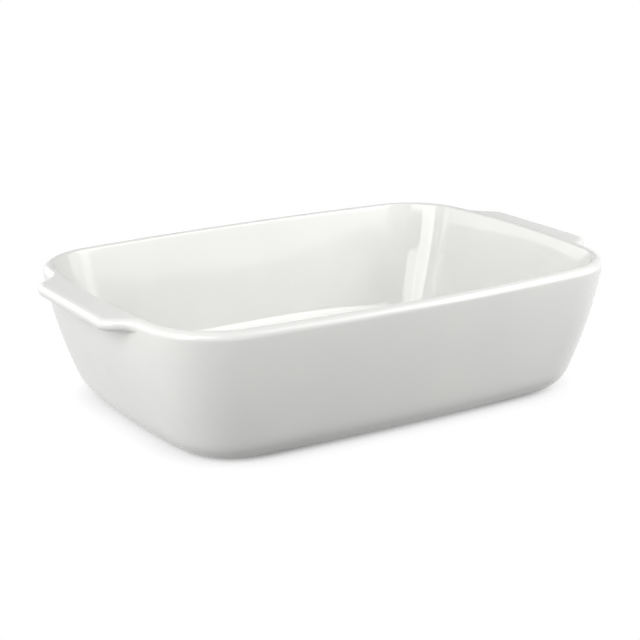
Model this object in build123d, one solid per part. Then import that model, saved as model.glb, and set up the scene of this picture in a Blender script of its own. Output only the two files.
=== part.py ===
from build123d import *
from math import atan2, cos, hypot, radians, sin, sqrt, tan
import os

# A deep glazed stoneware lasagna dish with a lug handle at each end, in millimetres.
# X runs along the dish, Y across it and Z up. The origin is the middle of the foot, on the table.
# The named sizes are those of the finished dish. The clay under the glaze is thinner by the coat.

# Rim
rim_length = 340.0
rim_width = 238.5
dish_height = 88.0
rim_corner_radius = 49.5
long_side_bow = 10.3
short_side_bow = 14.5
lip_outer_radius = 4.8
lip_inner_radius = 1.8

# Walls and floor, with their lean from upright in degrees
lean_under_rim = 6.6
lean_at_base = 17.5
end_lean_ratio = 1.45
corner_taper_ratio = 0.52
wall_thickness = 7.2
base_wall_thickness = 11.4
floor_thickness = 7.0
base_turn_radius = 23.0
floor_turn_radius = 18.0

# Foot, a ring of bare clay round a shallow recess
foot_width = 6.0
foot_height = 1.5

# Glaze
glaze_thickness = 0.45
glaze_line = 0.9

# Lug handles
lug_projection = 12.3
lug_outer_width = 96.5
lug_root_width = 110.0
lug_thickness = 7.6
lug_drop = 1.0
lug_corner_radius = 7.0
lug_edge_radius = 3.2
lug_overlap = 12.0

# How much of the rim's bow is left at the table
base_bow_share = 0.74

# Where the walls' level outlines are taken, as shares of the height
level_shares = (0.0, 0.15, 0.35, 0.55, 0.75, 0.9, 1.0)

# The one overrun of every cut
overrun = 5.0


def wall_inset(drop):
    """How far a long wall has come in at a depth under the lip: its slope grows evenly with depth."""
    rim_slope = tan(radians(lean_under_rim))
    base_slope = tan(radians(lean_at_base))
    return rim_slope * drop + (base_slope - rim_slope) * drop**2 / (2 * dish_height)


def bowed_face(half_length, half_width, corner, height):
    """A level face with four bowed sides, and corner arcs that run smoothly into them."""
    bow_share = base_bow_share + (1 - base_bow_share) * height / dish_height
    long_bow = long_side_bow * bow_share
    short_bow = short_side_bow * bow_share
    long_radius = (half_length**2 + long_bow**2) / (2 * long_bow)
    short_radius = (half_width**2 + short_bow**2) / (2 * short_bow)
    long_centre = half_width - long_radius
    short_centre = half_length - short_radius

    # The corner arc's centre lies its own radius inside both side arcs
    to_long = long_radius - corner
    to_short = short_radius - corner
    apart = hypot(short_centre, long_centre)
    along = (to_long**2 - to_short**2 + apart**2) / (2 * apart)
    aside = sqrt(to_long**2 - along**2)
    corner_x = (along * short_centre - aside * long_centre) / apart
    corner_y = long_centre - (along * long_centre + aside * short_centre) / apart

    long_turn = atan2(corner_y - long_centre, corner_x)
    short_turn = atan2(corner_y, corner_x - short_centre)

    def corner_point(turn, x_side, y_side):
        x = corner_x + corner * cos(turn)
        y = corner_y + corner * sin(turn)
        return Vector(x_side * x, y_side * y, height)

    edges = []
    for x_side, y_side in ((1, 1), (1, -1), (-1, -1), (-1, 1)):
        turns = [long_turn, (long_turn + short_turn) / 2, short_turn]
        side_middle = Vector(x_side * half_length, 0, height)
        next_corner = (x_side, -y_side)
        if x_side != y_side:
            turns.reverse()
            side_middle = Vector(0, y_side * half_width, height)
            next_corner = (-x_side, y_side)
        edges.append(ThreePointArc(*[corner_point(turn, x_side, y_side) for turn in turns]))
        side_end = corner_point(turns[-1], *next_corner)
        edges.append(ThreePointArc(corner_point(turns[-1], x_side, y_side), side_middle, side_end))
    return Face(Wire(edges))


def outline(height, grow):
    """The level outline of the finished outside at a height, moved outwards by grow."""
    inset = wall_inset(dish_height - lip_outer_radius - height)
    half_length = rim_length / 2 - end_lean_ratio * inset + grow
    half_width = rim_width / 2 - inset + grow
    corner = rim_corner_radius - corner_taper_ratio * inset + grow
    return bowed_face(half_length, half_width, corner, height)


def stack(low, high, grow, thickening=0):
    """A solid through the dish's level outlines from one height to another. Thickening is how much further
    in it has come at the table than at the top of the dish, spread evenly over the height."""
    heights = [low + share * (high - low) for share in level_shares]
    return loft([outline(height, grow - thickening * (1 - height / dish_height)) for height in heights])


def envelope(grow):
    """The dish's outside, filled in, with its base and lip rounded. The clay's foot is at height zero."""
    low = -glaze_thickness - grow
    solid = stack(low, dish_height + grow, grow)
    solid = fillet(solid.edges().group_by(Axis.Z)[0], base_turn_radius + grow)
    return fillet(solid.edges().group_by(Axis.Z)[-1], lip_outer_radius + grow)


def hollow(grow):
    """The space inside the walls, which thicken towards the base. It runs out over the rim."""
    thickening = base_wall_thickness - wall_thickness
    solid = stack(floor_thickness + grow, dish_height + overrun, -wall_thickness - grow, thickening)
    return fillet(solid.edges().group_by(Axis.Z)[0], floor_turn_radius - grow)


def open_out(solid, grow):
    """Cuts the inside out of a solid and rounds the rim's inner edge."""
    solid = solid - hollow(grow)
    top = solid.faces().sort_by(Axis.Z)[-1]
    return fillet(top.inner_wires()[0].edges(), lip_inner_radius + grow)


def lug_slab(grow):
    """The right lug as a level slab with a tapering plan, run into the wall that carries it."""
    root = rim_length / 2
    tip = root + lug_projection
    taper = (lug_root_width - lug_outer_width) / 2 / lug_projection
    inner_half = lug_root_width / 2 + taper * lug_overlap
    corners = [
        (root - lug_overlap, inner_half),
        (tip, lug_outer_width / 2),
        (tip, -lug_outer_width / 2),
        (root - lug_overlap, -inner_half),
    ]
    plan = make_face(Polyline(*corners, close=True))
    plan = offset(plan, grow, kind=Kind.INTERSECTION)
    plan = fillet(plan.vertices().group_by(Axis.X)[-1], lug_corner_radius + grow)
    slab = extrude(plan, lug_thickness + 2 * grow)
    levels = slab.edges().group_by(Axis.Z)
    slab = fillet(levels[0] + levels[-1], lug_edge_radius + grow)
    return Pos(0, 0, dish_height - lug_drop - lug_thickness - grow) * slab


def whole_dish(grow):
    """The dish and both lugs as one shape, moved outwards by grow from the finished surface."""
    slab = lug_slab(grow)
    return open_out(envelope(grow) + slab + mirror(slab, Plane.YZ), grow)


def recess(grow):
    """The shallow space inside the foot ring, from below the table up to its roof."""
    turn_reach = base_turn_radius * tan(radians(90 - lean_at_base) / 2)
    plan = outline(0, grow - turn_reach - foot_width)
    return Pos(0, 0, foot_height + grow) * extrude(plan, foot_height + overrun, dir=(0, 0, -1))


def above_glaze_line():
    """Everything that is high enough over the table to carry glaze."""
    size = rim_length + 2 * lug_projection + 2 * overrun
    return Pos(0, 0, glaze_line) * Box(size, size, dish_height, align=(Align.CENTER, Align.CENTER, Align.MIN))


# The clay pieces, which the glaze covers
clay = -glaze_thickness
clay_outside = envelope(clay)
clay_body = open_out(clay_outside, clay) - recess(0)
right_handle = lug_slab(clay) - clay_outside
left_handle = mirror(right_handle, Plane.YZ)

# The glaze, one skin over the inside, the rim, the outside and the lugs, and a patch inside the foot
glaze_coat = (whole_dish(0) - whole_dish(clay)) & above_glaze_line()
underside_glaze = (recess(0) - recess(clay)) & above_glaze_line()

parts = {
    "clay_body": clay_body,
    "left_handle": left_handle,
    "right_handle": right_handle,
    "glaze_coat": glaze_coat,
    "underside_glaze": underside_glaze,
}
os.makedirs("parts", exist_ok=True)
for name, part in parts.items():
    export_step(part, f"parts/{name}.step")
    print(name, round(part.volume), "cubic mm")
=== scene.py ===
"""A white glazed lasagna dish with a lug handle at each end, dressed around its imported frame."""

from math import acos, atan, cos, hypot, pi, radians, sin, tan
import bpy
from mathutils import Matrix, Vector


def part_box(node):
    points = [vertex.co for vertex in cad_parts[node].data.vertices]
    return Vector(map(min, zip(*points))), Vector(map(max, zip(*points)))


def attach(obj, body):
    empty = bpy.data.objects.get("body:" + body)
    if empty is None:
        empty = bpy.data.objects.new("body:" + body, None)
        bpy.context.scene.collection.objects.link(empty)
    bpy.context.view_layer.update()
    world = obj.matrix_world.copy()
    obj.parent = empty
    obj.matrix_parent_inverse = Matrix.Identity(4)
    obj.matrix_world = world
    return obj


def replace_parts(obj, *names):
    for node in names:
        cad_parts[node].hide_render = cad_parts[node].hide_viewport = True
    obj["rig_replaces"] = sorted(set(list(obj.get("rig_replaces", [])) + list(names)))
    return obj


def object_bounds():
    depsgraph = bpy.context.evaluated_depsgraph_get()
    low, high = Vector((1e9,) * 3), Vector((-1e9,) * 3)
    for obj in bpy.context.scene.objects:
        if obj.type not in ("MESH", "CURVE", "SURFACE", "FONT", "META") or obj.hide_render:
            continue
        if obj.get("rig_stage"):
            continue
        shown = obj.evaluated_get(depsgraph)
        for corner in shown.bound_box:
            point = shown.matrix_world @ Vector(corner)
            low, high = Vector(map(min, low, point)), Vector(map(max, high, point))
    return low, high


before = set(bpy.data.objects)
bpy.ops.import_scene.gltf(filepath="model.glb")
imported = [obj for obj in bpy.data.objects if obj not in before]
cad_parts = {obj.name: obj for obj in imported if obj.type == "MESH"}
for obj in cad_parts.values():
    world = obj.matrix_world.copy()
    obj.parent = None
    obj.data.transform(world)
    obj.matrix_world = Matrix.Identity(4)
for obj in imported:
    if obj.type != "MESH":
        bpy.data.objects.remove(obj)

from types import SimpleNamespace

import bmesh
import bpy
from mathutils import Matrix, Vector

bl_info = {
    "name": "Lasagna dish",
    "version": (1, 0, 0),
    "blender": (4, 5, 0),
    "location": "View3D > Sidebar > Dish",
    "description": "Models a glazed stoneware lasagna dish and the studio round it",
    "category": "Add Mesh",
}

MM = 0.001
CAD_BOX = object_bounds()
COAT_LOW, COAT_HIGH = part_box("glaze_coat")
CLAY_LOW, CLAY_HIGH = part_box("clay_body")
_, FOOT_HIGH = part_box("underside_glaze")
GLAZE_THICKNESS = COAT_HIGH.z - CLAY_HIGH.z

# A point times this keeps its place in plan and loses its height
FLAT = Vector((1, 1, 0))

# Points nearer than this are merged
MERGE_REACH = 0.001 * MM

# Stands in for a length of zero in a division
TINY = 1e-9

# The radius of a piece's first circle, which is laid onto the piece's first ring straight away
START_RADIUS = 100 * MM

# How many rings close a flat loop, and how large each is beside the last
CLOSING_RINGS = 4
CLOSING_SHRINK = 0.62

# Steps round each small quarter turn at the foot
EDGE_STEPS = 3

# Rounds in which the start of a turn and the wall's slope there settle
SETTLE_ROUNDS = 12

# A straight stretch of the profile counts at this share of its length, so that the rounds get more rings
STRAIGHT_WEIGHT = 0.5

# The sockets of a Mix node for its two colours and for what they give
FIRST_COLOUR, SECOND_COLOUR, MIXED_COLOUR = 6, 7, 2


def length(name, description, default):
    """A property that holds a length in metres."""
    return bpy.props.FloatProperty(name=name, description=description, default=default,
                                   subtype="DISTANCE", unit="LENGTH", precision=5)


def angle(name, description, degrees):
    """A property that holds an angle, whose default is given in degrees."""
    return bpy.props.FloatProperty(name=name, description=description, default=radians(degrees),
                                   subtype="ANGLE", unit="ROTATION")


def share(name, description, default):
    """A property that holds a plain number, such as a share or a strength."""
    return bpy.props.FloatProperty(name=name, description=description, default=default)


def step_count(name, description, default):
    """A property that holds a number of columns or rings."""
    return bpy.props.IntProperty(name=name, description=description, default=default)


def colour(name, description, hex_value):
    """A property that holds a colour, whose default is given as an sRGB hex value."""
    return bpy.props.FloatVectorProperty(name=name, description=description, default=linear(hex_value),
                                         subtype="COLOR", size=3, min=0, max=1)


def linear(hex_value):
    """Turns an sRGB hex value into the linear colour that the shaders take."""
    channels = [int(hex_value[i:i + 2], 16) / 255 for i in (1, 3, 5)]
    return [c / 12.92 if c <= 0.04045 else ((c + 0.055) / 1.055) ** 2.4 for c in channels]


class DishSizes(bpy.types.PropertyGroup):
    """Sizes of the finished dish, with its glaze."""

    rim_length: length("Rim length", "Outside length of the rim, without the lugs",
                       CLAY_HIGH.x - CLAY_LOW.x + 2 * GLAZE_THICKNESS)
    rim_width: length("Rim width", "Outside width of the rim", COAT_HIGH.y - COAT_LOW.y)
    height: length("Height", "From the table to the top of the lip", COAT_HIGH.z)
    corner: length("Corner radius", "Radius of the rim's corners, seen from above", 49.5 * MM)
    side_bow: length("Side bow", "How far the long sides bow out at the rim", 10.3 * MM)
    end_bow: length("End bow", "How far the ends bow out at the rim", 14.5 * MM)
    base_bow_share: share("Bow at the table", "Share of the rim's bow that is left at the table", 0.74)
    lip_outer: length("Outer lip radius", "Rounding of the lip towards the outside", 4.8 * MM)
    lip_inner: length("Inner lip radius", "Rounding of the lip towards the food", 1.8 * MM)
    rim_lean: angle("Lean under the lip", "Lean of a long wall from upright, just under the lip", 6.6)
    base_lean: angle("Lean at the base", "Lean that a long wall has grown to at the table", 17.5)
    end_lean_share: share("Lean of the ends", "How much faster the ends come in than the long walls", 1.45)
    corner_taper: share("Corner taper", "How much of the inset the corner radius loses", 0.52)
    wall: length("Wall", "Thickness of the walls at the rim, measured level", 7.2 * MM)
    base_wall: length("Wall at the base", "Thickness that the walls have grown to at the table", 11.4 * MM)
    floor: length("Floor", "Height of the cooking floor over the table", 7.0 * MM)
    base_turn: length("Base turn", "Radius of the outside turn from wall to foot", 23.0 * MM)
    floor_turn: length("Floor turn", "Radius of the inside turn from wall to floor", 18.0 * MM)
    glaze: length("Glaze", "Thickness of the glaze", GLAZE_THICKNESS)
    glaze_line: length("Glaze line", "Height over the table where the glaze ends", COAT_LOW.z)
    recess: length("Recess", "Depth of the shallow space inside the foot ring", FOOT_HIGH.z)
    foot_width: length("Foot width", "Width of the foot ring, from the base turn's outer line", 6.0 * MM)


class LugSizes(bpy.types.PropertyGroup):
    """Sizes of one lug handle."""

    projection: length("Projection", "How far the lug stands out past the rim",
                       COAT_HIGH.x - CLAY_HIGH.x - GLAZE_THICKNESS)
    outer_width: length("Outer width", "Width at the outer edge, between the slanted ends' lines", 96.5 * MM)
    root_width: length("Root width", "Width where the slanted ends meet the rim", 110 * MM)
    nose: length("Edge radius", "Radius of the fully rounded outer edge", 4.1 * MM)
    slope: angle("Slope", "How far the lug's top falls outwards", 2.0)
    corner_ease: length("Corner ease", "Width over which the outer corners are rounded", 8 * MM)
    root_ease: length("Root ease", "Width over which the slanted ends run into the rim", 12 * MM)
    growth: length("Growth", "Reach over which the lip's roundness turns into the lug's", 5 * MM)
    under_radius: length("Underside radius", "Hollow radius between the underside and the wall", 1.6 * MM)
    zone: length("Zone", "Depth under the lip's centre that the lug's underside may take", 16 * MM)


class MeshSteps(bpy.types.PropertyGroup):
    """How finely the surface is divided before it is subdivided once."""

    end_middle: step_count("End middle", "Columns over the lug's straight edge", 6)
    end_corner: step_count("Lug corner", "Columns round the lug's corner", 8)
    end_root: step_count("Lug root", "Columns from there to the rim's corner", 10)
    corner: step_count("Corner", "Columns round a corner of the rim", 16)
    side: step_count("Side", "Columns along half a long side", 8)
    turn: step_count("Turns", "Rings round the base and floor turns", 7)
    wall: step_count("Walls", "Rings up a wall", 6)
    under: step_count("Underside", "Rings from the wall to the lip's outermost line", 12)
    over: step_count("Top", "Rings from there over the top", 10)
    inner_lip: step_count("Inner lip", "Rings round the inner edge", 4)
    straight_share: share("Straight share", "Share of half an end where the lug's straight edge stops", 0.54)
    corner_share: share("Corner share", "Share of half an end where the lug's corner stops", 0.74)


class GlazeLook(bpy.types.PropertyGroup):
    """Colours of the fired materials."""

    white: colour("Glaze", "The white of the glaze", "#E9E9E6")
    pooled: colour("Pooled glaze", "The glaze where it ran a little thicker", "#E6E7E4")
    clay: colour("Clay", "Bare fired stoneware", "#D9D0BF")
    speck: colour("Specks", "Iron specks in the bare clay", "#8C7860")


class StudioSetup(bpy.types.PropertyGroup):
    """The camera and the light."""

    azimuth: angle("Camera azimuth", "How far round from the front the camera stands", -32.40)
    elevation: angle("Camera elevation", "How high the camera stands over the table", 17.32)
    distance: length("Camera distance", "From the camera to the middle of the dish", 1.0939)
    look_height: length("Middle height", "Height of the point that the camera circles", 35 * MM)
    aim_side: length("Aim to the side", "How far right of that point the camera looks", -3.09 * MM)
    aim_up: length("Aim up", "How far over that point the camera looks", 10.16 * MM)
    roll: angle("Camera roll", "How far the camera is turned about its own axis", -0.214)
    lens: share("Lens", "Focal length in millimetres", 93.12)
    sensor: share("Sensor", "Width of the camera's sensor in millimetres", 36)
    box_height: length("Soft box height", "Height of the point that the soft boxes face", 50 * MM)
    surround: share("Surround", "How strongly the white surround lights the dish", 0.08)
    floor_side: length("Floor side", "Length and width of the floor", 12)
    paper: colour("Paper", "The floor's own colour, which it throws back on the dish", "#8E8E8E")
    white_paper: colour("White paper", "The floor as it is seen, near the dish", "#F2F2F2")
    core_length: length("Core length", "Half the length that the floor's shade is measured from", 90 * MM)
    core_width: length("Core width", "Half the width that the floor's shade is measured from", 45 * MM)
    shade_reach: length("Shade reach", "How far from that core the floor keeps its full shade", 35 * MM)
    white_reach: length("White reach", "How far from that core the floor is all white", 65 * MM)


# The soft boxes: degrees round from the right end, degrees up, the width, height and distance in metres, and
# the brightness
SOFT_BOXES = {
    "left_box": (-163, 22, 0.55, 0.8, 1.1, 4.3),
    "left_fill": (170, 20, 0.8, 0.8, 1.1, 0.8),
    "back_box": (125, 14, 1.5, 0.5, 1.1, 1.7),
    "front_left_box": (-135, 35, 0.5, 0.5, 1.1, 3.4),
    "front_right_box": (-50, 35, 0.8, 0.8, 1.1, 2.4),
    "low_right_card": (-50, 14, 0.25, 0.25, 0.6, 1.3),
    "right_end_box": (-33, 20, 0.8, 0.8, 0.9, 1.8),
}


def settings():
    """The sizes, lug sizes and mesh steps that a user has set, as plain values."""
    scene = bpy.context.scene
    groups = (scene.dish_sizes, scene.lug_sizes, scene.mesh_steps)
    return [SimpleNamespace(**{name: getattr(group, name) for name in group.__annotations__})
            for group in groups]


# Level outlines

def wall_inset(drop, dish):
    """How far a long wall has come in at a depth under the lip's centre, as its slope grows with depth."""
    rim_slope = tan(dish.rim_lean)
    return rim_slope * drop + (tan(dish.base_lean) - rim_slope) * drop ** 2 / (2 * dish.height)


def wall_slope(drop, dish):
    """The slope of a long wall at a depth under the lip's centre."""
    rim_slope = tan(dish.rim_lean)
    return rim_slope + (tan(dish.base_lean) - rim_slope) * drop / dish.height


def outline_arcs(half_length, half_width, corner, height, dish):
    """A quarter of a level outline, from the middle of the right end to the middle of the far side.
    It has three arcs, each given as its centre, its radius and the turns at its two ends."""
    bow_share = dish.base_bow_share + (1 - dish.base_bow_share) * height / dish.height
    side_bow = dish.side_bow * bow_share
    end_bow = dish.end_bow * bow_share
    side_radius = (half_length ** 2 + side_bow ** 2) / (2 * side_bow)
    end_radius = (half_width ** 2 + end_bow ** 2) / (2 * end_bow)
    side_centre = half_width - side_radius
    end_centre = half_length - end_radius

    # The corner arc's centre lies its own radius inside both other arcs
    to_side = side_radius - corner
    to_end = end_radius - corner
    apart = hypot(end_centre, side_centre)
    along = (to_side ** 2 - to_end ** 2 + apart ** 2) / (2 * apart)
    aside = (to_side ** 2 - along ** 2) ** 0.5
    corner_centre = Vector(((along * end_centre - aside * side_centre) / apart,
                            side_centre - (along * side_centre + aside * end_centre) / apart))
    end_turn = (corner_centre - Vector((end_centre, 0))).angle_signed(Vector((1, 0)))
    side_turn = (corner_centre - Vector((0, side_centre))).angle_signed(Vector((1, 0)))
    return ((Vector((end_centre, 0)), end_radius, 0, end_turn),
            (corner_centre, corner, end_turn, side_turn),
            (Vector((0, side_centre)), side_radius, side_turn, pi / 2))


def on_outline(column, height, grow, dish):
    """The point of a column on the outside at a height, moved outwards by grow, and its outward normal."""
    inset = wall_inset(dish.height - dish.lip_outer - height, dish)
    arcs = outline_arcs(dish.rim_length / 2 - dish.end_lean_share * inset + grow,
                        dish.rim_width / 2 - inset + grow,
                        dish.corner - dish.corner_taper * inset + grow, height, dish)
    return on_arc(arcs, column)


def on_arc(arcs, column):
    """The point and normal of a column, which is the number of its arc and its share of that arc."""
    number, along = column
    centre, radius, start, end = arcs[number]
    turn = start + (end - start) * along
    normal = Vector((cos(turn), sin(turn)))
    return centre + radius * normal, normal


def quarter_columns(steps):
    """The columns of a quarter, from the middle of the right end to the middle of the far side."""
    straight, rounded = steps.straight_share, steps.corner_share
    runs = ((0, 0, straight, steps.end_middle), (0, straight, rounded, steps.end_corner),
            (0, rounded, 1, steps.end_root), (1, 0, 1, steps.corner), (2, 0, 1, steps.side))
    columns = [(0, 0)]
    for number, first, last, count in runs:
        columns += [(number, first + (last - first) * step / count) for step in range(1, count + 1)]
    return columns


def wall_lean(column, dish):
    """How much faster the wall comes in at a column than a long wall does."""
    lip_level = dish.height - dish.lip_outer
    top, normal = on_outline(column, lip_level, 0, dish)
    low, _ = on_outline(column, lip_level / 2, 0, dish)
    return (top - low).dot(normal) / wall_inset(lip_level / 2, dish)


# The upright profile of a column

def thickening(dish):
    """How much a wall thickens for each unit of depth, so how much its inside slopes beyond its outside."""
    return (dish.base_wall - dish.wall) / dish.height


def inward(height, grow, dish):
    """How far the inside lies in from the outside at a height, as a grow below zero."""
    return -dish.wall - grow - thickening(dish) * (dish.height - height)


def ease(value):
    """Runs smoothly from 0 to 1."""
    value = min(max(value, 0), 1)
    return value * value * (3 - 2 * value)


def soft_least(first, second, width):
    """The lesser of two values with the corner between them rounded, and the share of the first in it."""
    part = min(max(0.5 + 0.5 * (second - first) / width, 0), 1)
    return first * part + second * (1 - part) - width * part * (1 - part), part


def walk(pieces, steps):
    """Even steps along a chain of pieces, each given as its length and a function of the share of it."""
    total = sum(size for size, _ in pieces)
    points = []
    for step in range(1, steps + 1):
        left = total * step / steps
        for size, place in pieces[:-1]:
            if left <= size:
                break
            left -= size
        else:
            size, place = pieces[-1]
        points.append(place(min(left / max(size, TINY), 1)))
    return points


def first_point(pieces):
    """Where a chain starts."""
    return [pieces[0][1](0)]


def turn_rings(column, plane, radius, grow, count, dish, inside=False):
    """Points round a turn of that radius from the wall into a level plane, from the wall on."""
    extra = thickening(dish) if inside else 0
    lean = wall_lean(column, dish)
    lip_level = dish.height - dish.lip_outer
    start = plane + radius / 2
    for _ in range(SETTLE_ROUNDS):
        slant = atan(lean * wall_slope(lip_level - start, dish) + extra)
        start = plane + radius * (1 - sin(slant))
    point, normal = on_outline(column, start, inward(start, grow, dish) if inside else grow, dish)
    rings = []
    for step in range(count + 1):
        turn = slant + (pi / 2 - slant) * step / count
        place = point - normal * radius * (cos(slant) - cos(turn))
        rings.append(Vector((place.x, place.y, plane + radius * (1 - sin(turn)))))
    return rings


def wall_rings(column, low, high, grow, count, dish, inside=False):
    """Points up a wall between two heights, without both ends."""
    heights = [low + (high - low) * step / count for step in range(1, count)]
    grows = [inward(height, grow, dish) if inside else grow for height in heights]
    places = [on_outline(column, height, level_grow, dish)[0] for height, level_grow in zip(heights, grows)]
    return [Vector((place.x, place.y, height)) for place, height in zip(places, heights)]


def lug_reach(crest, normal, dish, lug):
    """How far the lug's edge has moved out from the lip's at a column, and the plan normal of that edge."""
    # Well past the lug and its soft roots, the lip is the plain one
    if crest.y > lug.root_width / 2 + 4 * lug.root_ease + lug.corner_ease:
        return 0, normal
    tip = dish.rim_length / 2 + lug.projection
    fall = lug.projection / (lug.root_width - lug.outer_width) * 2
    slanted = tip - lug.nose * hypot(1, fall) - fall * (crest.y - lug.outer_width / 2)
    edge, straight_part = soft_least(tip - lug.nose, slanted, lug.corner_ease)
    reach, lip_part = soft_least(-crest.x, -edge, lug.root_ease)
    rise = lip_part * normal.y / normal.x + (1 - lip_part) * (1 - straight_part) * fall
    return -reach - crest.x, Vector((1, rise)).normalized()


def lip_pieces(column, grow, with_lug, dish, lug):
    """The chains of the profile round the lug or the plain lip: up the wall, out under, over the top, and
    round the inner edge. Each chain is a list of pieces for walk."""
    lip_level = dish.height - dish.lip_outer
    slant = atan(wall_lean(column, dish) * wall_slope(0, dish))
    rim_point, normal = on_outline(column, lip_level, 0, dish)
    crest = rim_point - normal * dish.lip_outer / cos(slant)
    reach, nose_normal = lug_reach(crest, normal, dish, lug) if with_lug else (0, normal)

    # The nose is the round edge, with its centre at reach, nose_height in the column's own plane
    grown = ease(reach / lug.growth)
    nose = dish.lip_outer + (lug.nose - dish.lip_outer) * grown
    slope = lug.slope * grown
    nose_height = dish.height - reach * tan(slope) - nose / cos(slope)
    hollow = lug.under_radius
    outside = reach * cos(slant) - dish.lip_outer - (nose_height - lip_level) * sin(slant)
    under = (outside + (nose + hollow) * sin(slant - slope) - hollow) / cos(slant - slope)
    end_turn = pi / 2 + slope
    if under < 0:
        end_turn = slant + acos(min((hollow - outside) / (nose + hollow), 1))
    under = max(under, 0)
    nose_centre = Vector((reach, nose_height))
    hollow_centre = (nose_centre + (nose + hollow) * Vector((cos(end_turn), -sin(end_turn)))
                     - under * Vector((cos(slope), -sin(slope))))

    def wall_at(height):
        """How far out from the lip's centre the wall stands at a height."""
        return dish.lip_outer / cos(slant) - tan(slant) * (lip_level - height)

    def on_rim(point):
        """Places a profile point against the wall."""
        place, outward = on_outline(column, point.y, 0, dish)
        return place + outward * (point.x - wall_at(point.y))

    def on_nose(point):
        """Places a profile point over or under the lug, or beyond its edge's centre line."""
        if reach > 0 and 0 <= point.x <= reach:
            return crest + Vector((point.x, 0))
        if point.x < 0:
            return crest + normal * point.x
        return crest + Vector((reach, 0)) + nose_normal * (point.x - reach)

    def placed(point, nose_part):
        """A profile point in space, at a share of the way from the wall's plan to the lug's."""
        place = on_rim(point) * (1 - nose_part) + on_nose(point) * nose_part
        return Vector((place.x, place.y, point.y))

    def arc(centre, radius, start, end, first_part, last_part):
        """A round piece of the chain, along which that share eases from its first to its last value."""
        def place(along):
            turn = start + (end - start) * along
            point = centre + radius * Vector((cos(turn), sin(turn)))
            return placed(point, first_part + (last_part - first_part) * ease(along))
        return abs(end - start) * radius, place

    def line(start, end, nose_part):
        """A straight piece of the chain."""
        def place(along):
            return placed(start.lerp(end, along), nose_part)
        return (end - start).length * STRAIGHT_WEIGHT, place

    wall_low = lip_level - lug.zone
    wall_start = Vector((wall_at(wall_low) + grow / cos(slant), wall_low))
    wall_end = hollow_centre + (hollow - grow) * Vector((-cos(slant), sin(slant)))
    leave = Vector((cos(end_turn), -sin(end_turn)))
    under_start = hollow_centre - (hollow - grow) * leave
    under_end = nose_centre + (nose + grow) * leave
    top_start = nose_centre + (nose + grow) * Vector((sin(slope), cos(slope)))

    inner_radius = dish.lip_inner + grow
    top = dish.height + grow
    inner_slant = atan(tan(slant) + thickening(dish))
    inner_top = wall_at(top) - dish.wall - grow + inner_radius * tan((pi / 2 - inner_slant) / 2)
    inner_centre = Vector((inner_top, top - inner_radius))

    return SimpleNamespace(
        wall=[line(wall_start, wall_end, 0)],
        under=[arc(hollow_centre, hollow - grow, pi - slant, pi - end_turn, 0, 1),
               line(under_start, under_end, 1),
               arc(nose_centre, nose + grow, -end_turn, 0, 1, 1)],
        over=[arc(nose_centre, nose + grow, 0, pi / 2 - slope, 1, 1),
              line(top_start, Vector((inner_top, top)), 1)],
        inner=[arc(inner_centre, inner_radius, pi / 2, pi - inner_slant, 1, 0)])


def lip_rings(column, grow, with_lug, dish, lug, steps):
    """Points from the wall under the lip, round the lug or plain lip, to the inner edge's lowest point."""
    chains = lip_pieces(column, grow, with_lug, dish, lug)
    return (first_point(chains.wall) + walk(chains.wall + chains.under, steps.under)
            + walk(chains.over, steps.over) + walk(chains.inner, steps.inner_lip))


def coat_profile(column, grow, with_lug, dish, lug, steps):
    """Points from the foot up the outside, over the lip and down the inside to the edge of the floor."""
    foot = turn_rings(column, -dish.glaze - grow, dish.base_turn + grow, grow, steps.turn, dish)
    lip = lip_rings(column, grow, with_lug, dish, lug, steps)
    floor = turn_rings(column, dish.floor + grow, dish.floor_turn - grow, grow, steps.turn, dish, inside=True)
    outer_wall = wall_rings(column, foot[0].z, lip[0].z, grow, steps.wall, dish)
    inner_wall = wall_rings(column, lip[-1].z, floor[0].z, grow, steps.wall + 1, dish, inside=True)
    return foot[::-1], outer_wall + lip + inner_wall + floor


# Meshes

def all_round(profiles):
    """Turns the profiles of a quarter into closed rings right round the dish."""
    last = len(profiles) - 1
    order = [(number, 1, 1) for number in range(last + 1)]
    order += [(number, -1, 1) for number in range(last - 1, -1, -1)]
    order += [(number, -1, -1) for number in range(1, last + 1)]
    order += [(number, 1, -1) for number in range(last - 1, 0, -1)]
    return [[Vector((profiles[number][level].x * x_side, profiles[number][level].y * y_side,
                     profiles[number][level].z)) for number, x_side, y_side in order]
            for level in range(len(profiles[0]))]


def start_piece(name, count):
    """Adds a circle of that many vertices and leaves it in edit mode, each vertex numbered."""
    bpy.ops.object.select_all(action="DESELECT")
    bpy.ops.mesh.primitive_circle_add(vertices=count, radius=START_RADIUS)
    piece = bpy.context.object
    piece.name = name
    piece.data.name = name
    bpy.ops.object.mode_set(mode="EDIT")
    edit = bmesh.from_edit_mesh(piece.data)
    number = edit.verts.layers.int.new("column")
    for index, vertex in enumerate(edit.verts):
        vertex[number] = index
    bmesh.update_edit_mesh(piece.data)
    return piece


def lay_ring(piece, ring):
    """Moves the selected loop onto a ring."""
    edit = bmesh.from_edit_mesh(piece.data)
    number = edit.verts.layers.int["column"]
    for vertex in edit.verts:
        if vertex.select:
            vertex.co = ring[vertex[number]]
    bmesh.update_edit_mesh(piece.data)


def draw_rings(name, rings):
    """Extrudes a loop from ring to ring and leaves the last one selected in edit mode."""
    piece = start_piece(name, len(rings[0]))
    bpy.ops.mesh.select_all(action="SELECT")
    lay_ring(piece, rings[0])
    for ring in rings[1:]:
        bpy.ops.mesh.extrude_edges_move()
        lay_ring(piece, ring)
    return piece


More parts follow.
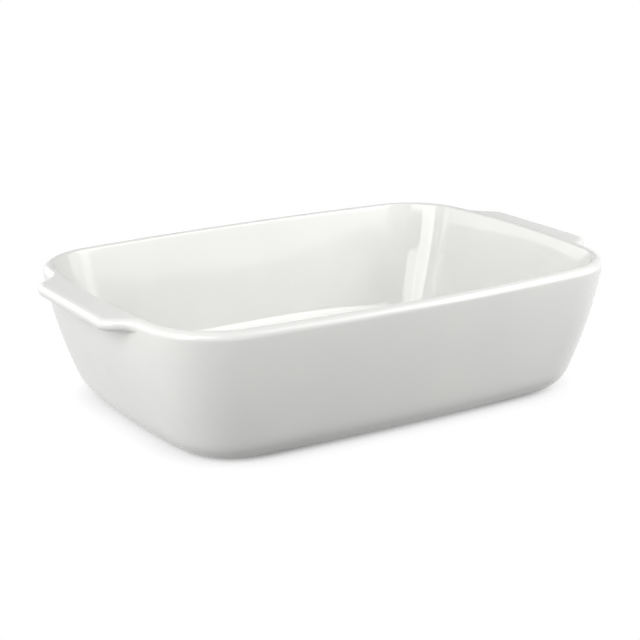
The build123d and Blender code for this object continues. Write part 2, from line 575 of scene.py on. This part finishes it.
def close_loop():
    """Closes the selected flat loop with a few rings that shrink towards the middle, and a last fan."""
    for _ in range(CLOSING_RINGS):
        bpy.ops.mesh.extrude_edges_move()
        bpy.ops.transform.resize(value=(CLOSING_SHRINK, CLOSING_SHRINK, 1))
    bpy.ops.mesh.edge_face_add()
    bpy.ops.mesh.poke()


def select_boundary():
    """Selects the open edges of the mesh that is being edited."""
    bpy.ops.mesh.select_all(action="DESELECT")
    bpy.ops.mesh.select_mode(type="EDGE")
    bpy.ops.mesh.select_non_manifold(extend=False, use_wire=False, use_boundary=True, use_multi_face=False,
                                     use_non_contiguous=False, use_verts=False)


def finish_piece(piece, material, slot, *nodes):
    """Turns the faces outwards, leaves edit mode and seats the piece on the frame."""
    bpy.ops.mesh.select_all(action="SELECT")
    bpy.ops.mesh.remove_doubles(threshold=MERGE_REACH)
    bpy.ops.mesh.normals_make_consistent(inside=False)
    bpy.ops.object.mode_set(mode="OBJECT")
    bpy.ops.object.shade_smooth()
    piece.data.materials.clear()
    piece.data.materials.append(material)
    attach(piece, "root")
    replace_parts(piece, *nodes)


def apply_modifier(piece, kind, **values):
    """Adds a modifier with those values and applies it."""
    modifier = piece.modifiers.new(kind.title(), kind)
    for key, value in values.items():
        setattr(modifier, key, value)
    bpy.ops.object.modifier_apply(modifier=modifier.name)


# Materials

def add_node(tree, kind, inputs=None, links=None, **values):
    """Adds a node with its settings, its input values and its links, each link from another node's output."""
    node = tree.nodes.new(kind)
    for key, value in values.items():
        setattr(node, key, value)
    for key, value in (inputs or {}).items():
        node.inputs[key].default_value = value
    for key, (source, output) in (links or {}).items():
        tree.links.new(source.outputs[output], node.inputs[key])
    return node


def new_material(name):
    """An empty node material, its tree and its output."""
    material = bpy.data.materials.get(name)
    if material:
        return material, None, None
    material = bpy.data.materials.new(name)
    material.use_nodes = True
    tree = material.node_tree
    tree.nodes.clear()
    return material, tree, tree.nodes.new("ShaderNodeOutputMaterial")


def seen(tree):
    """A node that is 1 for what is seen straight, in a gloss or through glass, and 0 for light that falls."""
    path = tree.nodes.new("ShaderNodeLightPath")
    direct = add_node(tree, "ShaderNodeMath", None,
                      {0: (path, "Is Camera Ray"), 1: (path, "Is Glossy Ray")}, operation="MAXIMUM")
    return add_node(tree, "ShaderNodeMath", None,
                    {0: (direct, 0), 1: (path, "Is Transmission Ray")}, operation="MAXIMUM")


def glaze_material():
    """Opaque white glaze, fired to a smooth glass: deep gloss, soft ripples where it ran, no grain."""
    look = bpy.context.scene.glaze_look
    material, tree, output = new_material("opaque_white_glaze")
    if tree is None:
        return material
    ripple_length = 38 * MM
    ripple_depth = 0.06 * MM
    peel_length = 3 * MM
    peel_depth = 0.0015 * MM
    pooled_below = 0.25
    white_above = 0.75
    place = add_node(tree, "ShaderNodeTexCoord")
    ripple = add_node(tree, "ShaderNodeTexNoise", {"Scale": 1 / ripple_length, "Detail": 1.0},
                      {"Vector": (place, "Object")})
    peel = add_node(tree, "ShaderNodeTexNoise", {"Scale": 1 / peel_length, "Detail": 2.0},
                    {"Vector": (place, "Object")})
    rippled = add_node(tree, "ShaderNodeBump", {"Strength": 1.0, "Distance": ripple_depth},
                       {"Height": (ripple, "Fac")})
    bump = add_node(tree, "ShaderNodeBump", {"Strength": 1.0, "Distance": peel_depth},
                    {"Height": (peel, "Fac"), "Normal": (rippled, "Normal")})
    tone = add_node(tree, "ShaderNodeValToRGB", None, {"Fac": (ripple, "Fac")})
    ends = ((pooled_below, look.pooled), (white_above, look.white))
    for element, (position, shade) in zip(tone.color_ramp.elements, ends):
        element.position = position
        element.color = (*shade, 1)
    glaze = add_node(tree, "ShaderNodeBsdfPrincipled", {"Roughness": 0.06, "IOR": 1.52},
                     {"Base Color": (tone, "Color"), "Normal": (bump, "Normal")})
    tree.links.new(glaze.outputs["BSDF"], output.inputs["Surface"])
    return material


def clay_material():
    """Bare fired stoneware: matt, slightly warm, with fine grog grain and a few iron specks."""
    look = bpy.context.scene.glaze_look
    material, tree, output = new_material("fired_stoneware")
    if tree is None:
        return material
    grain_length = 0.8 * MM
    grain_depth = 0.08 * MM
    speck_spacing = 2.5 * MM
    speck_radius_share = 0.12
    place = add_node(tree, "ShaderNodeTexCoord")
    grain = add_node(tree, "ShaderNodeTexNoise", {"Scale": 1 / grain_length, "Detail": 4.0},
                     {"Vector": (place, "Object")})
    specks = add_node(tree, "ShaderNodeTexVoronoi", {"Scale": 1 / speck_spacing},
                      {"Vector": (place, "Object")})
    spots = add_node(tree, "ShaderNodeMath", {1: speck_radius_share}, {0: (specks, "Distance")},
                     operation="LESS_THAN")
    tint = add_node(tree, "ShaderNodeMix", {FIRST_COLOUR: (*look.clay, 1), SECOND_COLOUR: (*look.speck, 1)},
                    {"Factor": (spots, "Value")}, data_type="RGBA")
    bump = add_node(tree, "ShaderNodeBump", {"Strength": 0.6, "Distance": grain_depth},
                    {"Height": (grain, "Fac")})
    clay = add_node(tree, "ShaderNodeBsdfPrincipled", {"Roughness": 0.85, "IOR": 1.5},
                    {"Base Color": (tint, MIXED_COLOUR), "Normal": (bump, "Normal")})
    tree.links.new(clay.outputs["BSDF"], output.inputs["Surface"])
    return material


# Operators

class DISH_OT_glaze_coat(bpy.types.Operator):
    """Models the glaze over the inside, the lip, the lugs and the outside"""

    bl_idname = "dish.glaze_coat"
    bl_label = "Glaze coat"

    def execute(self, context):
        dish, lug, steps = settings()
        profiles = []
        for column in quarter_columns(steps):
            foot, rest = coat_profile(column, 0, True, dish, lug, steps)
            above_line = [point for point in foot if point.z > dish.glaze_line + 2 * dish.glaze]
            profiles.append(self.glaze_edge(column, dish) + above_line + rest)
        piece = draw_rings("dish_glaze", all_round(profiles))
        close_loop()

        # The surface faces outwards before it gets its thickness
        bpy.ops.mesh.select_all(action="SELECT")
        bpy.ops.mesh.normals_make_consistent(inside=False)
        bpy.ops.object.mode_set(mode="OBJECT")
        apply_modifier(piece, "SUBSURF", levels=1, render_levels=1)
        apply_modifier(piece, "SOLIDIFY", thickness=dish.glaze, offset=-1)
        bpy.ops.object.mode_set(mode="EDIT")
        finish_piece(piece, glaze_material(), "white_glaze", "glaze_coat")
        return {"FINISHED"}

    def glaze_edge(self, column, dish):
        """The rounded edge where the glaze ends on the bare clay, from the clay outwards."""
        plane = -dish.glaze
        turn_top, foot = turn_rings(column, plane, dish.base_turn, 0, 1, dish)
        outward = Vector((turn_top.x - foot.x, turn_top.y - foot.y, 0)).normalized()
        edge = []
        for step in range(EDGE_STEPS + 1):
            lift = pi / 2 * step / EDGE_STEPS
            height = dish.glaze_line + dish.glaze * (1 - cos(lift))
            reach = dish.base_turn - dish.glaze * (1 - sin(lift))
            drop = dish.base_turn + plane - height
            across = (reach ** 2 - drop ** 2) ** 0.5
            edge.append(Vector((foot.x + outward.x * across, foot.y + outward.y * across, height)))
        return edge


class DISH_OT_clay_body(bpy.types.Operator):
    """Models the stoneware body under the glaze, with its bare foot ring"""

    bl_idname = "dish.clay_body"
    bl_label = "Clay body"

    def execute(self, context):
        dish, lug, steps = settings()
        profiles = []
        for column in quarter_columns(steps):
            foot, rest = coat_profile(column, -dish.glaze, False, dish, lug, steps)
            profiles.append(recess_edge(column, dish) + foot + rest)
        piece = draw_rings("dish_clay", all_round(profiles))
        close_loop()
        select_boundary()
        close_loop()
        finish_piece(piece, clay_material(), "stoneware", "clay_body")
        return {"FINISHED"}


def recess_edge(column, dish):
    """Points from the recess's roof, down its rounded side, to the foot ring it is cut into."""
    turn_reach = dish.base_turn * tan((pi / 2 - dish.base_lean) / 2)
    point, normal = on_outline(column, 0, -turn_reach - dish.foot_width, dish)
    radius = dish.recess / 2
    points = []
    for centre, height, start, end in ((-radius, radius, pi / 2, 0), (radius, radius, pi, 3 * pi / 2)):
        for step in range(EDGE_STEPS + 1):
            turn = start + (end - start) * step / EDGE_STEPS
            place = point + normal * (centre + radius * cos(turn))
            points.append(Vector((place.x, place.y, height + radius * sin(turn))))

    # The two turns meet in one point, which is kept once
    return points[:EDGE_STEPS + 1] + points[EDGE_STEPS + 2:]


class DISH_OT_underside_glaze(bpy.types.Operator):
    """Models the patch of glaze inside the foot ring"""

    bl_idname = "dish.underside_glaze"
    bl_label = "Underside glaze"

    def execute(self, context):
        dish, lug, steps = settings()
        profiles = []
        for column in quarter_columns(steps):
            roof, corner = recess_edge(column, dish)[:2]
            across = Vector((roof.x - corner.x, roof.y - corner.y, 0)).normalized() * dish.glaze
            lowered = Vector((0, 0, dish.recess - dish.glaze))
            profiles.append([roof, corner, corner * FLAT + lowered + across, roof * FLAT + lowered + across])
        piece = draw_rings("foot_glaze", all_round(profiles))
        close_loop()
        select_boundary()
        close_loop()
        finish_piece(piece, glaze_material(), "white_glaze", "underside_glaze")
        return {"FINISHED"}


class DISH_OT_handles(bpy.types.Operator):
    """Models the clay of the right lug, and mirrors a copy of it for the left one"""

    bl_idname = "dish.handles"
    bl_label = "Handles"

    def execute(self, context):
        dish, lug, steps = settings()
        half = []
        for column in quarter_columns(steps):
            if column[0] > 0:
                break
            half.append(self.section(column, dish, lug, steps))
        rings = [[Vector((point.x, -point.y, point.z)) for point in ring] for ring in half[:0:-1]] + half
        piece = draw_rings("right_lug_clay", rings)
        bpy.ops.mesh.edge_face_add()
        select_boundary()
        bpy.ops.mesh.edge_face_add()
        finish_piece(piece, clay_material(), "stoneware", "right_handle")
        bpy.ops.object.select_all(action="DESELECT")
        piece.select_set(True)
        bpy.context.view_layer.objects.active = piece
        bpy.ops.object.duplicate()
        copy = bpy.context.object
        copy.name = "left_lug_clay"
        copy.data.name = copy.name

        # The copy drops the right lug's node, so that it stands for the left one alone
        copy["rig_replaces"] = []
        bpy.ops.object.mode_set(mode="EDIT")
        bpy.ops.mesh.select_all(action="SELECT")
        bpy.ops.transform.resize(value=(-1, 1, 1), center_override=(0, 0, 0))
        finish_piece(copy, clay_material(), "stoneware", "left_handle")
        return {"FINISHED"}

    def section(self, column, dish, lug, steps):
        """A closed section through the lug's clay at a column, with its back let into the wall."""
        chains = lip_pieces(column, -dish.glaze, True, dish, lug)
        ring = (first_point(chains.under) + walk(chains.under, steps.under)
                + walk(chains.over, steps.over)[:-1])
        _, normal = on_outline(column, dish.height, 0, dish)
        seat = Vector((normal.x, normal.y, 0)) * dish.lip_inner
        return ring + [ring[-1] - seat - Vector((0, 0, dish.lip_inner)), ring[0] - seat]


class DISH_OT_studio(bpy.types.Operator):
    """Sets up the floor, the soft light and the camera"""

    bl_idname = "dish.studio"
    bl_label = "Studio"

    def execute(self, context):
        studio = context.scene.studio_setup
        self.place_camera(context)
        self.lay_floor(studio)
        self.hang_lights(studio)
        context.scene.view_settings.view_transform = "Standard"
        return {"FINISHED"}

    def place_camera(self, context):
        studio = context.scene.studio_setup
        back = Vector((sin(studio.azimuth) * cos(studio.elevation),
                       -cos(studio.azimuth) * cos(studio.elevation), sin(studio.elevation)))
        right = Vector((-back.y, back.x, 0)).normalized()
        up = back.cross(right)
        middle = Vector((0, 0, studio.look_height))
        location = middle + back * studio.distance
        aim = middle + right * studio.aim_side + up * studio.aim_up
        turn = (aim - location).to_track_quat("-Z", "Y").to_matrix().to_4x4()
        camera = bpy.data.objects.new("camera", bpy.data.cameras.new("camera"))
        context.collection.objects.link(camera)
        camera.matrix_world = Matrix.Translation(location) @ turn @ Matrix.Rotation(studio.roll, 4, "Z")
        camera.data.lens = studio.lens
        camera.data.sensor_width = studio.sensor
        context.scene.camera = camera

    def lay_floor(self, studio):
        """Pale paper, seen as white, which keeps the dish's shadow near it and is plain white further off."""
        bpy.ops.object.select_all(action="DESELECT")
        bpy.ops.mesh.primitive_plane_add(size=studio.floor_side)
        floor = bpy.context.object
        floor.name = "floor"
        material, tree, output = new_material("white_paper")
        paper = add_node(tree, "ShaderNodeBsdfDiffuse", {"Color": (*studio.paper, 1)})
        white = add_node(tree, "ShaderNodeBsdfDiffuse", {"Color": (*studio.white_paper, 1)})
        glow = add_node(tree, "ShaderNodeEmission")
        place = add_node(tree, "ShaderNodeTexCoord")
        half = add_node(tree, "ShaderNodeVectorMath", None, {0: (place, "Object")}, operation="ABSOLUTE")
        past = add_node(tree, "ShaderNodeVectorMath", {1: (studio.core_length, studio.core_width, 0)},
                        {0: (half, 0)}, operation="SUBTRACT")
        outside = add_node(tree, "ShaderNodeVectorMath", {1: (0, 0, 0)}, {0: (past, 0)}, operation="MAXIMUM")
        away = add_node(tree, "ShaderNodeVectorMath", None, {0: (outside, 0)}, operation="LENGTH")
        far = add_node(tree, "ShaderNodeMapRange",
                       {"From Min": studio.shade_reach, "From Max": studio.white_reach},
                       {"Value": (away, "Value")})
        near_or_far = add_node(tree, "ShaderNodeMixShader", None, {0: (far, 0), 1: (white, 0), 2: (glow, 0)})
        pick = add_node(tree, "ShaderNodeMixShader", None,
                        {0: (seen(tree), 0), 1: (paper, 0), 2: (near_or_far, 0)})
        tree.links.new(pick.outputs[0], output.inputs["Surface"])
        floor.data.materials.append(material)
        floor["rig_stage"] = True

    def hang_lights(self, studio):
        """A surround that is seen as white and lights the dish only a little, and the soft boxes."""
        world = bpy.data.worlds.new("studio")
        bpy.context.scene.world = world
        world.use_nodes = True
        tree = world.node_tree
        tree.nodes.clear()
        output = tree.nodes.new("ShaderNodeOutputWorld")
        soft = add_node(tree, "ShaderNodeBackground", {"Color": (1, 1, 1, 1), "Strength": studio.surround})
        white = add_node(tree, "ShaderNodeBackground", {"Color": (1, 1, 1, 1), "Strength": 1.0})
        pick = add_node(tree, "ShaderNodeMixShader", None, {0: (seen(tree), 0), 1: (soft, 0), 2: (white, 0)})
        tree.links.new(pick.outputs[0], output.inputs["Surface"])
        middle = Vector((0, 0, studio.box_height))
        for name, (turn, rise, width, height, distance, strength) in SOFT_BOXES.items():
            lamp = bpy.data.lights.new(name, "AREA")
            lamp.shape = "RECTANGLE"
            lamp.size = width
            lamp.size_y = height
            lamp.energy = strength * pi * width * height
            box = bpy.data.objects.new(name, lamp)
            bpy.context.scene.collection.objects.link(box)
            turn, rise = radians(turn), radians(rise)
            away = Vector((cos(rise) * cos(turn), cos(rise) * sin(turn), sin(rise)))
            box.location = middle + away * distance
            box.rotation_euler = (-away).to_track_quat("-Z", "Y").to_euler()


class DISH_PT_sidebar(bpy.types.Panel):
    """The dish's sizes and the steps that make it"""

    bl_label = "Lasagna dish"
    bl_space_type = "VIEW_3D"
    bl_region_type = "UI"
    bl_category = "Dish"

    def draw(self, context):
        for group_name in GROUPS:
            group = getattr(context.scene, group_name)
            box = self.layout.box()
            for name in group.__annotations__:
                box.prop(group, name)
        for operator in OPERATORS:
            self.layout.operator(operator.bl_idname)


GROUPS = {"dish_sizes": DishSizes, "lug_sizes": LugSizes, "mesh_steps": MeshSteps,
          "glaze_look": GlazeLook, "studio_setup": StudioSetup}
OPERATORS = (DISH_OT_clay_body, DISH_OT_handles, DISH_OT_glaze_coat, DISH_OT_underside_glaze, DISH_OT_studio)


def register():
    for group in GROUPS.values():
        bpy.utils.register_class(group)
    for name, group in GROUPS.items():
        setattr(bpy.types.Scene, name, bpy.props.PointerProperty(type=group))
    for operator in OPERATORS:
        bpy.utils.register_class(operator)
    bpy.utils.register_class(DISH_PT_sidebar)


def unregister():
    bpy.utils.unregister_class(DISH_PT_sidebar)
    for operator in reversed(OPERATORS):
        bpy.utils.unregister_class(operator)
    for name, group in GROUPS.items():
        delattr(bpy.types.Scene, name)
        bpy.utils.unregister_class(group)


def main():
    register()
    bpy.ops.dish.clay_body()
    bpy.ops.dish.handles()
    bpy.ops.dish.glaze_coat()
    bpy.ops.dish.underside_glaze()
    bpy.ops.dish.studio()
    cad, visual = ([list(corner) for corner in box] for box in (CAD_BOX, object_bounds()))


if __name__ == "__main__":
    main()
